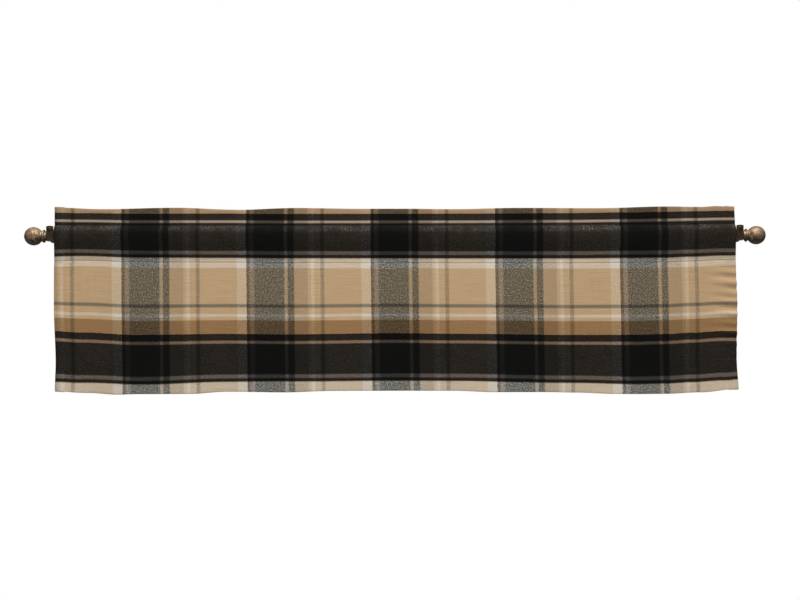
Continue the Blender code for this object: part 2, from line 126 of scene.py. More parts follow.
class Graph:
    """Adds nodes to one node tree and joins them."""

    def __init__(self, tree: bpy.types.NodeTree) -> None:
        """Keep the tree that the nodes go into."""
        self.tree = tree

    def node(self, kind: str, **settings: object) -> bpy.types.Node:
        """Add a node.

        Args:
            kind: the node's type name.
            settings: properties to set on it.

        Returns:
            The new node.
        """
        made = self.tree.nodes.new(kind)
        for name, value in settings.items():
            setattr(made, name, value)
        return made

    def feed(self, target: bpy.types.NodeSocket, source: object) -> None:
        """Join a socket to an input, or set a plain value on it.

        Args:
            target: the input socket.
            source: an output socket, a number, or a run of numbers.
        """
        if isinstance(source, bpy.types.NodeSocket):
            self.tree.links.new(source, target)
        elif target.type == "RGBA":
            target.default_value = (*source[:3], 1.0)
        else:
            target.default_value = source

    def maths(self, operation: str, *values: object, clamp: bool = False) -> bpy.types.NodeSocket:
        """Add a Math node.

        Args:
            operation: the node's operation.
            values: its inputs, sockets or numbers.
            clamp: whether to hold the result between 0 and 1.

        Returns:
            The result's socket.
        """
        made = self.node("ShaderNodeMath", operation=operation, use_clamp=clamp)
        for target, value in zip(made.inputs, values):
            self.feed(target, value)
        return made.outputs[0]

    def blend(
        self, factor: object, first: object, second: object, mode: str = "MIX"
    ) -> bpy.types.NodeSocket:
        """Mix two colours.

        Args:
            factor: share of the second colour.
            first: a colour or its socket.
            second: a colour or its socket.
            mode: the blend mode.

        Returns:
            The mixed colour's socket.
        """
        made = self.node("ShaderNodeMix", data_type="RGBA", blend_type=mode)
        self.feed(made.inputs["Factor"], factor)
        colours = [s for s in made.inputs if s.type == "RGBA"]
        self.feed(colours[0], first)
        self.feed(colours[1], second)
        return next(s for s in made.outputs if s.type == "RGBA")

    def remap(
        self, value: object, low: float, high: float, out_low: float, out_high: float
    ) -> bpy.types.NodeSocket:
        """Move a value from one range to another and hold it there.

        Args:
            value: the value's socket.
            low: where the first range starts.
            high: where it ends.
            out_low: what its start becomes.
            out_high: what its end becomes.

        Returns:
            The result's socket.
        """
        made = self.node("ShaderNodeMapRange", clamp=True)
        for target, number in zip(made.inputs, (value, low, high, out_low, out_high)):
            self.feed(target, number)
        return made.outputs[0]

    def vector(self, x: object, y: object, z: object = 0.0) -> bpy.types.NodeSocket:
        """Put three values together as a vector."""
        made = self.node("ShaderNodeCombineXYZ")
        for target, value in zip(made.inputs, (x, y, z)):
            self.feed(target, value)
        return made.outputs[0]

    def noise(
        self, place: object, scale: object, detail: float = 2.0, rough: float = 0.5
    ) -> bpy.types.NodeSocket:
        """Add a noise pattern.

        Args:
            place: the vector that it is read at.
            scale: how many grains to a unit.
            detail: how many finer layers it has.
            rough: how strong the finer layers are.

        Returns:
            The pattern's value, about 0 to 1.
        """
        made = self.node("ShaderNodeTexNoise", noise_dimensions="3D")
        self.feed(made.inputs["Vector"], place)
        self.feed(made.inputs["Scale"], scale)
        self.feed(made.inputs["Detail"], detail)
        self.feed(made.inputs["Roughness"], rough)
        return made.outputs[0]

    def group(self, tree: bpy.types.NodeTree, **values: object) -> bpy.types.Node:
        """Place a node group.

        Args:
            tree: the group's tree.
            values: its inputs by name, with _ for a space.

        Returns:
            The group's node.
        """
        made = self.node("ShaderNodeGroup", node_tree=tree)
        for name, value in values.items():
            self.feed(made.inputs[name.replace("_", " ")], value)
        return made


class EffectGroup:
    """A shader node group that is built once and placed in each material that uses it."""

    name = "effect"
    inputs: tuple[tuple[str, str, float], ...] = ()
    outputs: tuple[tuple[str, str], ...] = ()

    def tree(self) -> bpy.types.NodeTree:
        """Build the group, or return the one already built."""
        found = bpy.data.node_groups.get(self.name)
        if found:
            return found
        made = bpy.data.node_groups.new(self.name, "ShaderNodeTree")
        for label, kind, value in self.inputs:
            socket = made.interface.new_socket(label, in_out="INPUT", socket_type=kind)
            if kind == "NodeSocketFloat":
                socket.default_value = value
        for label, kind in self.outputs:
            made.interface.new_socket(label, in_out="OUTPUT", socket_type=kind)
        graph = Graph(made)
        source = graph.node("NodeGroupInput")
        target = graph.node("NodeGroupOutput")
        results = self.build(graph, source.outputs)
        for label, socket in results.items():
            graph.feed(target.inputs[label], socket)
        return made

    def build(self, graph: Graph, given: bpy.types.NodeOutputs) -> dict[str, bpy.types.NodeSocket]:
        """Add the group's own nodes.

        Args:
            graph: the group's graph.
            given: the group's input sockets.

        Returns:
            A socket for each output, by name.
        """
        raise NotImplementedError


class TwillWeave(EffectGroup):
    """Diagonal ribs of a twill, with a rounded yarn at each crossing."""

    name = "twill_weave"
    inputs = (
        ("Across", "NodeSocketFloat", 0.0),
        ("Along", "NodeSocketFloat", 0.0),
        ("Rib Pitch", "NodeSocketFloat", 1.3),
    )
    outputs = (("Rib", "NodeSocketFloat"), ("Height", "NodeSocketFloat"))

    def build(self, graph: Graph, given: bpy.types.NodeOutputs) -> dict[str, bpy.types.NodeSocket]:
        """Add the ribs and the yarns. See the base class for Args and Returns."""
        turns = graph.maths("DIVIDE", 2 * math.pi, given["Rib Pitch"])
        across = graph.maths("MULTIPLY", given["Across"], turns)
        along = graph.maths("MULTIPLY", given["Along"], turns)
        rib = graph.maths("SINE", graph.maths("ADD", across, along))
        rib = graph.remap(rib, -1.0, 1.0, 0.0, 1.0)
        yarn = graph.maths("SINE", graph.maths("MULTIPLY", graph.maths("SUBTRACT", along, across), 2.0))
        yarn = graph.remap(yarn, -1.0, 1.0, 0.0, 0.35)
        return {"Rib": rib, "Height": graph.maths("ADD", rib, yarn)}


class YarnSpeckle(EffectGroup):
    """Salt and pepper where dark and pale yarns cross unevenly, at two grain sizes."""

    name = "yarn_speckle"
    inputs = (
        ("Place", "NodeSocketVector", 0.0),
        ("Grain", "NodeSocketFloat", 3.0),
    )
    outputs = (("Speckle", "NodeSocketFloat"),)

    def build(self, graph: Graph, given: bpy.types.NodeOutputs) -> dict[str, bpy.types.NodeSocket]:
        """Add the two grains. See the base class for Args and Returns."""
        fine = graph.maths("DIVIDE", 1.0, given["Grain"])
        coarse = graph.noise(given["Place"], fine, 2.0, 0.65)
        small = graph.noise(given["Place"], graph.maths("MULTIPLY", fine, 2.3), 1.0, 0.5)
        both = graph.maths("MULTIPLY_ADD", coarse, 0.6, graph.maths("MULTIPLY", small, 0.4))
        return {"Speckle": graph.remap(both, 0.32, 0.68, -1.0, 1.0)}


class BrushedNap(EffectGroup):
    """Raised fibres: soft patches made of short bright hairs."""

    name = "brushed_nap"
    inputs = (
        ("Place", "NodeSocketVector", 0.0),
        ("Patch", "NodeSocketFloat", 34.0),
        ("Hair", "NodeSocketFloat", 3.2),
    )
    outputs = (("Nap", "NodeSocketFloat"), ("Height", "NodeSocketFloat"))

    def build(self, graph: Graph, given: bpy.types.NodeOutputs) -> dict[str, bpy.types.NodeSocket]:
        """Add patches and hairs. See the base class for Args and Returns."""
        patch = graph.noise(given["Place"], graph.maths("DIVIDE", 1.0, given["Patch"]), 3.0, 0.6)
        patch = graph.remap(patch, 0.36, 0.66, 0.15, 1.0)
        hair = graph.noise(given["Place"], graph.maths("DIVIDE", 1.0, given["Hair"]), 3.0, 0.7)
        bright = graph.remap(hair, 0.50, 0.74, 0.0, 1.0)
        return {"Nap": graph.maths("MULTIPLY", patch, bright), "Height": hair}


class YarnStreak(EffectGroup):
    """Yarns that are a little darker or lighter than their neighbours for part of their length."""

    name = "yarn_streak"
    inputs = (
        ("Beside", "NodeSocketFloat", 0.0),
        ("Lengthwise", "NodeSocketFloat", 0.0),
        ("Yarn Width", "NodeSocketFloat", 1.4),
        ("Streak Length", "NodeSocketFloat", 70.0),
    )
    outputs = (("Streak", "NodeSocketFloat"),)

    def build(self, graph: Graph, given: bpy.types.NodeOutputs) -> dict[str, bpy.types.NodeSocket]:
        """Add one noise drawn out along the yarns. See the base class for Args and Returns."""
        beside = graph.maths("DIVIDE", given["Beside"], given["Yarn Width"])
        lengthwise = graph.maths("DIVIDE", given["Lengthwise"], given["Streak Length"])
        streak = graph.noise(graph.vector(beside, lengthwise), 1.0, 2.0, 0.6)
        return {"Streak": graph.remap(streak, 0.3, 0.7, -1.0, 1.0)}


class StitchRow(EffectGroup):
    """A row of lockstitches: a dimple along the row, and a short thread over each stitch."""

    name = "stitch_row"
    inputs = (
        ("Beside", "NodeSocketFloat", 0.0),
        ("Lengthwise", "NodeSocketFloat", 0.0),
        ("Row", "NodeSocketFloat", 0.0),
        ("Stitch", "NodeSocketFloat", 3.2),
    )
    outputs = (("Thread", "NodeSocketFloat"), ("Dimple", "NodeSocketFloat"))

    def build(self, graph: Graph, given: bpy.types.NodeOutputs) -> dict[str, bpy.types.NodeSocket]:
        """Add the dimple and the threads. See the base class for Args and Returns."""
        off = graph.maths("ABSOLUTE", graph.maths("SUBTRACT", given["Beside"], given["Row"]))
        step = graph.maths("FRACT", graph.maths("DIVIDE", given["Lengthwise"], given["Stitch"]))
        middle = graph.maths("ABSOLUTE", graph.maths("SUBTRACT", step, 0.5))
        over = graph.remap(middle, 0.34, 0.42, 1.0, 0.0)
        thin = graph.remap(off, 0.25, 0.45, 1.0, 0.0)
        dimple = graph.remap(off, 0.3, 2.2, 1.0, 0.0)
        return {"Thread": graph.maths("MULTIPLY", over, thin), "Dimple": dimple}


class Mottle(EffectGroup):
    """Cloudy patches with a fine grain inside them, for an aged metal."""

    name = "aged_mottle"
    inputs = (
        ("Place", "NodeSocketVector", 0.0),
        ("Patch", "NodeSocketFloat", 8.0),
        ("Grain", "NodeSocketFloat", 1.2),
    )
    outputs = (("Cloud", "NodeSocketFloat"), ("Grain", "NodeSocketFloat"))

    def build(self, graph: Graph, given: bpy.types.NodeOutputs) -> dict[str, bpy.types.NodeSocket]:
        """Add the two noises. See the base class for Args and Returns."""
        place = graph.node("ShaderNodeVectorMath", operation="SCALE")
        graph.feed(place.inputs[0], given["Place"])
        graph.feed(place.inputs["Scale"], 1.0 / MM)
        cloud = graph.noise(place.outputs[0], graph.maths("DIVIDE", 1.0, given["Patch"]), 4.0, 0.6)
        grain = graph.noise(place.outputs[0], graph.maths("DIVIDE", 1.0, given["Grain"]), 3.0, 0.6)
        return {"Cloud": graph.remap(cloud, 0.32, 0.68, 0.0, 1.0), "Grain": grain}


# ---------------------------------------------------------------- finishes


class Yarns(Enum):
    """Which set of yarns a stripe belongs to."""

    WARP = "hanging yarns"
    WEFT = "yarns along the rod"


@dataclass(frozen=True)
class Band:
    """One band of the plaid: its name, its width in millimetres and its display colour."""

    name: str
    width: float
    colour: tuple[int, int, int]


@dataclass(frozen=True)
class Sett:
    """The order of the bands in one repeat, for one set of yarns."""

    yarns: Yarns
    bands: tuple[Band, ...]
    repeat: float
    first_at: float
    edge_blur: float = 0.9

    def ramp(self, graph: Graph, place: bpy.types.NodeSocket) -> bpy.types.NodeSocket:
        """Colour a place by its band.

        Args:
            graph: the graph to add the nodes to.
            place: distance over the bands, in millimetres.

        Returns:
            The band's colour.
        """
        offset = graph.maths("SUBTRACT", place, self.first_at)
        share = graph.maths("FRACT", graph.maths("DIVIDE", offset, self.repeat))
        made = graph.node("ShaderNodeValToRGB", label=self.yarns.value)
        made.color_ramp.interpolation = "LINEAR"
        total = sum(band.width for band in self.bands)
        stops = made.color_ramp.elements
        start = 0.0
        for number, band in enumerate(self.bands):
            colour = (*linear(*band.colour), 1.0)
            first, last = start + self.edge_blur, start + band.width - self.edge_blur
            for end, position in enumerate((first / total, last / total)):
                stop = stops[end] if number < 1 else stops.new(position)
                stop.position = position
                stop.color = colour
            start += band.width
        graph.feed(made.inputs[0], share)
        return made.outputs[0]


WEFT_SETT = Sett(
    Yarns.WEFT,
    (
        Band("dark edge", 15.2, (15, 12, 10)),
        Band("thin line", 5.8, (106, 87, 71)),
        Band("charcoal", 68.0, (14, 13, 12)),
        Band("mist line", 7.7, (73, 70, 70)),
        Band("trim", 8.4, (21, 16, 10)),
        Band("cream", 22.4, (201, 190, 175)),
        Band("tan", 81.6, (182, 153, 118)),
        Band("grey line", 7.8, (104, 96, 80)),
        Band("tan beside grey", 14.6, (182, 153, 118)),
        Band("cream line", 6.4, (201, 190, 176)),
        Band("light tan", 7.7, (186, 158, 123)),
        Band("rust", 31.0, (133, 99, 64)),
    ),
    repeat=276.6,
    first_at=7.4,
)

WARP_SETT = Sett(
    Yarns.WARP,
    (
        Band("trim", 7.6, (15, 12, 9)),
        Band("slate line", 9.3, (54, 57, 60)),
        Band("charcoal", 68.5, (12, 15, 16)),
        Band("thin line", 6.4, (104, 97, 84)),
        Band("dark edge", 15.3, (12, 14, 14)),
        Band("rust", 30.5, (123, 106, 84)),
        Band("light tan", 6.9, (188, 161, 127)),
        Band("cream line", 7.3, (222, 216, 204)),
        Band("tan beside grey", 13.7, (182, 153, 118)),
        Band("grey line", 8.9, (80, 73, 60)),
        Band("tan", 82.8, (182, 153, 118)),
        Band("cream", 21.1, (219, 214, 204)),
    ),
    repeat=278.3,
    first_at=-610.9,
)

# Pale rows. Most are raised nap, but the rows at the header's fold and at the top of the pocket are
# painted highlight where those faces turn up to the light from above. Distance down from the header's
# fold and half width in millimetres, how pale, and how much of it comes in hairs.
NAP_AND_HIGHLIGHT_ROWS = (
    (1.0, 7.5, 0.20, 0.2),
    (15.0, 9.0, 0.020, 0.6),
    (25.4, 3.2, 0.46, 0.2),
    (43.0, 11.0, 0.50, 1.0),
    (62.0, 16.0, 0.07, 1.0),
    (330.0, 60.0, 0.03, 1.0),
)


@dataclass(frozen=True)
class PlaidCloth:
    """Brushed plaid twill: two sets of dyed yarns that show through each other."""

    weft: Sett = WEFT_SETT
    warp: Sett = WARP_SETT
    weft_share: float = 0.70
    speckle: float = 0.30
    speckle_bias: float = 0.04
    speckle_grain: float = 3.2
    twill_contrast: float = 0.10
    rib_pitch: float = 1.3
    streak_along: float = 0.15
    streak_across: float = 0.12
    nap_colour: Colour = linear(196, 188, 176)
    nap_strength: float = 0.03
    full_warp: float = 0.34
    pale_core: float = 0.4
    wander: float = 0.7
    rib_height: float = 0.35
    nap_height: float = 0.9
    thread_colour: Colour = linear(34, 29, 24)
    thread_cover: float = 0.7
    dimple_shade: float = 0.25
    roughness: float = 0.92
    specular: float = 0.02
    sheen: float = 0.03
    sheen_roughness: float = 0.55
    sheen_tint: Colour = (0.95, 0.90, 0.84)
    bump: float = 0.55
    bump_depth: float = 0.5 * MM

    def material(self, rows: tuple[float, ...], side_rows: tuple[float, ...]) -> bpy.types.Material:
        """Build the cloth's material.

        Args:
            rows: where the stitched rows along the rod lie, in millimetres down the cloth.
            side_rows: where the rows of the side hems lie, in millimetres across it.

        Returns:
            The material.
        """
        made = bpy.data.materials.new("plaid_cloth")
        made.use_nodes = True
        graph = Graph(made.node_tree)
        shader = made.node_tree.nodes["Principled BSDF"]
        flat = graph.node("ShaderNodeAttribute", attribute_name="flat_place")
        parts = graph.node("ShaderNodeSeparateXYZ")
        graph.feed(parts.inputs[0], flat.outputs["Vector"])
        across, along = parts.outputs[0], parts.outputs[1]
        place = flat.outputs["Vector"]

        drift = graph.noise(place, 0.35, 3.0, 0.7)
        wander = graph.remap(drift, 0.3, 0.7, -self.wander, self.wander)
        weft = self.weft.ramp(graph, graph.maths("ADD", along, wander))
        warp = self.warp.ramp(graph, graph.maths("ADD", across, wander))
        weft = self.streaked(graph, weft, along, across, self.streak_along)
        warp = self.streaked(graph, warp, across, along, self.streak_across)

        twill = graph.group(TwillWeave().tree(), Across=across, Along=along, Rib_Pitch=self.rib_pitch)
        grains = graph.group(YarnSpeckle().tree(), Place=place, Grain=self.speckle_grain)
        speckle = grains.outputs["Speckle"]
        rib = graph.remap(twill.outputs["Rib"], 0.0, 1.0, -self.twill_contrast, self.twill_contrast)
        share = graph.maths("ADD", self.weft_share, rib, clamp=True)
        weft_part = graph.node("ShaderNodeGamma")
        graph.feed(weft_part.inputs[0], weft)
        graph.feed(weft_part.inputs[1], share)
        warp_part = graph.node("ShaderNodeGamma")
        graph.feed(warp_part.inputs[0], warp)
        graph.feed(warp_part.inputs[1], graph.maths("SUBTRACT", 1.0, share))
        cloth = graph.blend(1.0, weft_part.outputs[0], warp_part.outputs[0], "MULTIPLY")
        contrast = graph.maths("DIVIDE", self.brightness(graph, weft), self.brightness(graph, warp))
        power = graph.maths("MULTIPLY_ADD", speckle, self.speckle, self.speckle_bias)
        gain = graph.maths("POWER", contrast, power)
        cloth = graph.blend(1.0, cloth, graph.vector(gain, gain, gain), "MULTIPLY")

        nap = graph.group(BrushedNap().tree(), Place=place)
        fibre = self.fibre_colour(graph, warp)
        nap_and_painted_highlight = graph.maths("MULTIPLY", nap.outputs["Nap"], self.nap_strength)
        # Painted highlight along the header's fold and the pocket's top, mixed with raised nap in the
        # other rows.
        for down, half_width, pale, hairy in NAP_AND_HIGHLIGHT_ROWS:
            near = graph.maths("ABSOLUTE", graph.maths("SUBTRACT", along, down))
            near = graph.remap(near, half_width * self.pale_core, half_width, pale, 0.0)
            even = graph.maths("MULTIPLY_ADD", nap.outputs["Nap"], hairy, 1.0 - hairy)
            nap_and_painted_highlight = graph.maths("MULTIPLY_ADD", near, even, nap_and_painted_highlight)
        cloth = graph.blend(nap_and_painted_highlight, cloth, fibre)

        height = graph.maths("MULTIPLY", twill.outputs["Height"], self.rib_height)
        height = graph.maths("MULTIPLY_ADD", nap.outputs["Height"], self.nap_height, height)
        for row in rows:
            cloth, height = self.stitched(graph, cloth, height, along, across, row)
        for row in side_rows:
            height = self.stitched(graph, cloth, height, across, along, row)[1]
        bump = graph.node("ShaderNodeBump")
        bump.inputs["Strength"].default_value = self.bump
        bump.inputs["Distance"].default_value = self.bump_depth
        graph.feed(bump.inputs["Height"], height)

        graph.feed(shader.inputs["Base Color"], cloth)
        graph.feed(shader.inputs["Normal"], bump.outputs[0])
        shader.inputs["Roughness"].default_value = self.roughness
        shader.inputs["Specular IOR Level"].default_value = self.specular
        shader.inputs["Sheen Weight"].default_value = self.sheen
        shader.inputs["Sheen Roughness"].default_value = self.sheen_roughness
        shader.inputs["Sheen Tint"].default_value = (*self.sheen_tint, 1.0)
        return made

    def brightness(self, graph: Graph, colour: bpy.types.NodeSocket) -> bpy.types.NodeSocket:
        """Turn a colour to its brightness."""
        grey = graph.node("ShaderNodeRGBToBW")
        graph.feed(grey.inputs[0], colour)
        return grey.outputs[0]

    def fibre_colour(self, graph: Graph, warp: bpy.types.NodeSocket) -> bpy.types.NodeSocket:
        """Colour the raised fibres, which are paler where the warp is pale.

        Args:
            graph: the material's graph.
            warp: the warp's colour.

        Returns:
            The fibres' colour.
        """
        paleness = graph.maths("DIVIDE", self.brightness(graph, warp), self.full_warp)
        share = graph.maths("POWER", paleness, 0.5, clamp=True)
        return graph.blend(share, (0.0, 0.0, 0.0), self.nap_colour)

    def streaked(
        self,
        graph: Graph,
        colour: bpy.types.NodeSocket,
        beside: bpy.types.NodeSocket,
        lengthwise: bpy.types.NodeSocket,
        amount: float,
    ) -> bpy.types.NodeSocket:
        """Vary the yarns of one set.

        Args:
            graph: the material's graph.
            colour: the yarns' colour.
            beside: distance over the yarns.
            lengthwise: distance along them.
            amount: how much lighter or darker a yarn gets.

        Returns:
            The varied colour.
        """
        made = graph.group(YarnStreak().tree(), Beside=beside, Lengthwise=lengthwise)
        factor = graph.maths("MULTIPLY_ADD", made.outputs["Streak"], amount, 1.0)
        return graph.blend(1.0, colour, graph.vector(factor, factor, factor), "MULTIPLY")

    def stitched(
        self,
        graph: Graph,
        colour: bpy.types.NodeSocket,
        height: bpy.types.NodeSocket,
        beside: bpy.types.NodeSocket,
        lengthwise: bpy.types.NodeSocket,
        row: float,
    ) -> tuple[bpy.types.NodeSocket, bpy.types.NodeSocket]:
        """Sew one row over the cloth.

        Args:
            graph: the material's graph.
            colour: the cloth's colour so far.
            height: the cloth's height so far.
            beside: distance over the row.
            lengthwise: distance along it.
            row: where the row lies.

        Returns:
            The colour and the height with the row on them.
        """
        made = graph.group(StitchRow().tree(), Beside=beside, Lengthwise=lengthwise, Row=row)
        shade = graph.maths("MULTIPLY", made.outputs["Dimple"], self.dimple_shade)
        colour = graph.blend(shade, colour, (0.0, 0.0, 0.0))
        thread = graph.maths("MULTIPLY", made.outputs["Thread"], self.thread_cover)
        colour = graph.blend(thread, colour, self.thread_colour)
        sunk = graph.maths("MULTIPLY_ADD", made.outputs["Dimple"], -1.2, height)
        return colour, graph.maths("MULTIPLY_ADD", made.outputs["Thread"], 0.9, sunk)


@dataclass(frozen=True)
class AgedMetal:
    """A metal finish with clouds of patina, a fine grain and rubbed lighter spots, and painted shade
    that darkens its rims and its underside.
    """

    name: str
    base: Colour
    patina: Colour
    rubbed: Colour
    metallic: float
    roughness: float
    rough_spread: float
    patch: float
    grain: float
    bump: float
    bump_depth: float = 0.3 * MM
    rubbed_cover: float = 0.55
    rim_power: float = 2.5
    # Painted shade: how much the rims and the underside are darkened, and the dark colour used for it.
    painted_rim_shade: float = 0.0
    painted_underside_shade: float = 0.0
    painted_shade_colour: Colour = linear(40, 28, 14)

    def material(self) -> bpy.types.Material:
        """Build the metal's material and return it."""
        made = bpy.data.materials.new(self.name)
        made.use_nodes = True
        graph = Graph(made.node_tree)
        shader = made.node_tree.nodes["Principled BSDF"]
        place = graph.node("ShaderNodeTexCoord").outputs["Object"]
        mottle = graph.group(Mottle().tree(), Place=place, Patch=self.patch, Grain=self.grain)
        colour = graph.blend(mottle.outputs["Cloud"], self.base, self.patina)
        spots = graph.remap(mottle.outputs["Grain"], 0.56, 0.70, 0.0, self.rubbed_cover)
        colour = graph.blend(spots, colour, self.rubbed)
        # Painted shade: rims that turn away from the view are darkened.
        facing = graph.node("ShaderNodeLayerWeight").outputs["Facing"]
        turned_away = graph.maths("POWER", facing, self.rim_power)
        rim_shade_share = graph.remap(turned_away, 0.1, 1.0, 0.0, self.painted_rim_shade)
        colour = graph.blend(rim_shade_share, colour, self.painted_shade_colour)
        # Painted shade: the downward-facing side is darkened in patchy clouds.
        normal = graph.node("ShaderNodeSeparateXYZ")
        graph.feed(normal.inputs[0], graph.node("ShaderNodeNewGeometry").outputs["Normal"])
        downward = graph.maths("MULTIPLY", normal.outputs[2], -1.0)
        under = graph.maths("MULTIPLY_ADD", mottle.outputs["Cloud"], 0.5, downward)
        underside_shade_share = graph.remap(under, -0.1, 0.85, 0.0, self.painted_underside_shade)
        colour = graph.blend(underside_shade_share, colour, self.painted_shade_colour)
        smoothest = self.roughness - self.rough_spread
        roughest = self.roughness + self.rough_spread
        rough = graph.remap(mottle.outputs["Cloud"], 0.0, 1.0, smoothest, roughest)
        bump = graph.node("ShaderNodeBump")
        bump.inputs["Strength"].default_value = self.bump
        bump.inputs["Distance"].default_value = self.bump_depth
        graph.feed(bump.inputs["Height"], mottle.outputs["Grain"])
        graph.feed(shader.inputs["Base Color"], colour)
        graph.feed(shader.inputs["Roughness"], rough)
        graph.feed(shader.inputs["Normal"], bump.outputs[0])
        shader.inputs["Metallic"].default_value = self.metallic
        return made


ANTIQUE_BRASS = AgedMetal(
    name="antique_brass",
    base=linear(186, 160, 132),
    patina=linear(118, 93, 63),
    rubbed=linear(198, 179, 156),
    metallic=0.75,
    roughness=0.6,
    rough_spread=0.07,
    patch=7.0,
    grain=1.1,
    bump=0.25,
    painted_rim_shade=0.8,
    painted_underside_shade=0.9,
)

DARK_BRONZE = AgedMetal(
    name="dark_bronze",
    base=linear(74, 62, 44),
    patina=linear(46, 38, 28),
    rubbed=linear(120, 98, 64),
    metallic=0.7,
    roughness=0.48,
    rough_spread=0.08,
    patch=6.0,
    grain=1.0,
    bump=0.2,
)


# ---------------------------------------------------------------- the cloth

# Rise of the foot of the cloth over its width: x, rise.
FOOT_RISE = (
    (-0.759, 0.0035),
    (-0.690, -0.0009),
    (-0.623, -0.0050),
    (-0.570, -0.0034),
    (-0.456, -0.0029),
    (-0.385, 0.0012),
    (-0.254, -0.0002),
    (-0.145, 0.0032),
    (0.130, 0.0028),
    (0.215, 0.0000),
    (0.320, -0.0003),
    (0.400, -0.0019),
    (0.490, -0.0047),
    (0.600, -0.0045),
    (0.680, -0.0018),
    (0.750, 0.0060),
)

# Rise of the header's top edge over the cloth's width: x, rise.
HEADER_RISE = (
    (-0.759, 0.0035),
    (-0.655, -0.0004),
    (-0.490, 0.0026),
    (-0.350, -0.0024),
    (-0.225, 0.0015),
    (-0.080, -0.0006),
    (0.020, -0.0007),
    (0.130, -0.0017),
    (0.270, 0.0009),
    (0.450, 0.0002),
    (0.610, 0.0038),
    (0.685, 0.0027),
    (0.718, 0.0044),
    (0.759, 0.0022),
)

# How far the plaid's cross stripes rise above level: x, then the rise at the header, at the
# foot of the pocket, at the lower dark band and at the hem. All in millimetres but x.
STRIPE_RISE = (
    (-0.760, -1.0, 1.0, 6.0, -3.0),
    (-0.700, -2.0, 2.0, 2.5, -5.5),
    (-0.575, -3.5, -2.0, -3.0, -9.5),
    (-0.380, -3.5, -3.0, -1.0, -4.0),
    (-0.250, -4.5, -4.0, -2.5, -3.0),
    (0.000, -4.5, -4.5, 0.0, -2.0),
    (0.130, -4.5, -5.0, -1.5, -2.5),
    (0.390, -3.5, -5.5, -4.5, -7.5),
    (0.530, -2.0, -4.5, -4.5, -10.0),
    (0.600, -1.0, -4.0, -3.0, -9.0),
    (0.660, 0.0, -2.0, 0.0, -6.5),
    (0.730, 1.0, 0.5, 4.0, -2.0),
    (0.760, 1.0, 1.0, 3.5, 0.5),
)
STRIPE_LEVELS = (-328.0 * MM, -220.0 * MM, -50.0 * MM, 50.0 * MM)

# Soft folds that hang down from the pocket: centre x, half width, swing towards the room.
SOFT_FOLDS = (
    (-0.735, 0.055, 0.0050),
    (-0.640, 0.075, -0.0045),
    (-0.500, 0.110, 0.0055),
    (-0.330, 0.090, -0.0040),
    (-0.170, 0.110, 0.0045),
    (0.030, 0.120, -0.0030),
    (0.220, 0.100, 0.0040),
    (0.390, 0.090, -0.0035),
    (0.540, 0.100, 0.0050),
    (0.665, 0.060, -0.0050),
    (0.745, 0.050, 0.0045),
)

# Wander of the two side edges: height, shift in x.
LEFT_EDGE = (
    (-0.350, -0.0021),
    (-0.285, -0.0002),
    (-0.150, -0.0040),
    (-0.080, -0.0038),
    (-0.015, -0.0012),
    (0.017, -0.0016),
    (0.040, -0.0020),
)
RIGHT_EDGE = (
    (-0.350, 0.0016),
    (-0.290, -0.0007),
    (-0.145, 0.0041),
    (-0.070, 0.0031),
    (-0.010, 0.0013),
    (0.020, 0.0016),
    (0.062, 0.0000),
)


@dataclass
class ClothRows:
    """The sheet's path in section, one value of each list for each row of points."""

    depth: list[float] = field(default_factory=list)
    height: list[float] = field(default_factory=list)
    wrong_side: list[float] = field(default_factory=list)
    extra: list[float] = field(default_factory=list)
    marks: dict[str, int] = field(default_factory=dict)

    def add(self, depth: float, height: float, wrong_side: float = 0.0, extra: float = 0.0) -> None:
        """Add one row.

        Args:
            depth: distance in front of the plane through the rod's axis.
            height: height over the rod's axis.
            wrong_side: share of a side hem that lies on the wrong side.
            extra: thickness added on the right side.
        """
        self.depth.append(depth)
        self.height.append(height)
        self.wrong_side.append(wrong_side)
        self.extra.append(extra)

    def mark(self, name: str) -> None:
        """Remember the last row under a name."""
        self.marks[name] = len(self.depth) - 1

    def lengths(self) -> np.ndarray:
        """Return each row's distance along the cloth, 0 at the header's fold, growing downwards."""
        points = np.stack([self.depth, self.height], axis=1)
        steps = np.linalg.norm(np.diff(points, axis=0), axis=1)
        along = np.concatenate([[0.0], np.cumsum(steps)])
        return along - along[self.marks["fold"]]


